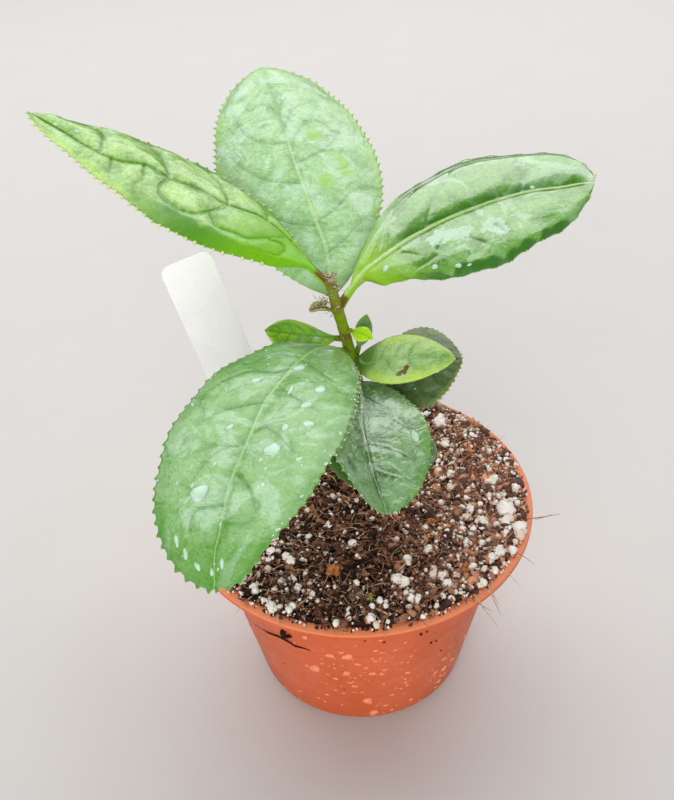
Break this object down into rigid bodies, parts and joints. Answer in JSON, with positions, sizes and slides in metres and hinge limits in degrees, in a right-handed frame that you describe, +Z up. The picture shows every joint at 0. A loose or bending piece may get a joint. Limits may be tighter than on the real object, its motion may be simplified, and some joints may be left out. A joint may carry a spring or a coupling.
{
  "type": "young potted tea plant",
  "caption": "Young tea plant with toothed evergreen leaves on one leaning stem, in a small tapered plastic pot of potting mix, with a blank plant label.",
  "frame": {"origin": "centre of the pot's flat underside", "axes": "+Z up out of the pot, the plant's front faces -Y and +X is to the right seen from the front"},
  "size_m": [0.1262, 0.1511, 0.1506],
  "materials": {
    "pot": "smooth terracotta-coloured plastic, satin, wet with small water drops",
    "potting_mix": "dark moist peat with red-brown fibres and white perlite grains",
    "label": "smooth white plastic, blank",
    "stem": "olive green bark, brown at the nodes and foot",
    "leaf_bright": "bright yellow-green leaf, leathery and slightly glossy",
    "leaf_pale": "mid-green leaf with a pale wet sheen",
    "leaf_dark": "dark green leaf, leathery and glossy",
    "dried": "dry brown scale, matt"
  },
  "bodies": {
    "root": {"pot": "pot", "potting_mix": "potting_mix", "plant_label": "label", "stem": "stem", "leaf_upper_left": "leaf_bright", "leaf_upper_back": "leaf_pale", "leaf_upper_right": "leaf_dark", "leaf_front_large": "leaf_pale", "leaf_front_low": "leaf_dark", "leaf_front_under": "leaf_dark", "leaf_right_spotted": "leaf_bright", "leaf_right_back": "leaf_dark", "leaf_left_small": "leaf_bright", "leaf_young_bright": "leaf_bright", "leaf_young_green": "leaf_bright", "dried_bract": "dried"}
  },
  "joints": []
}
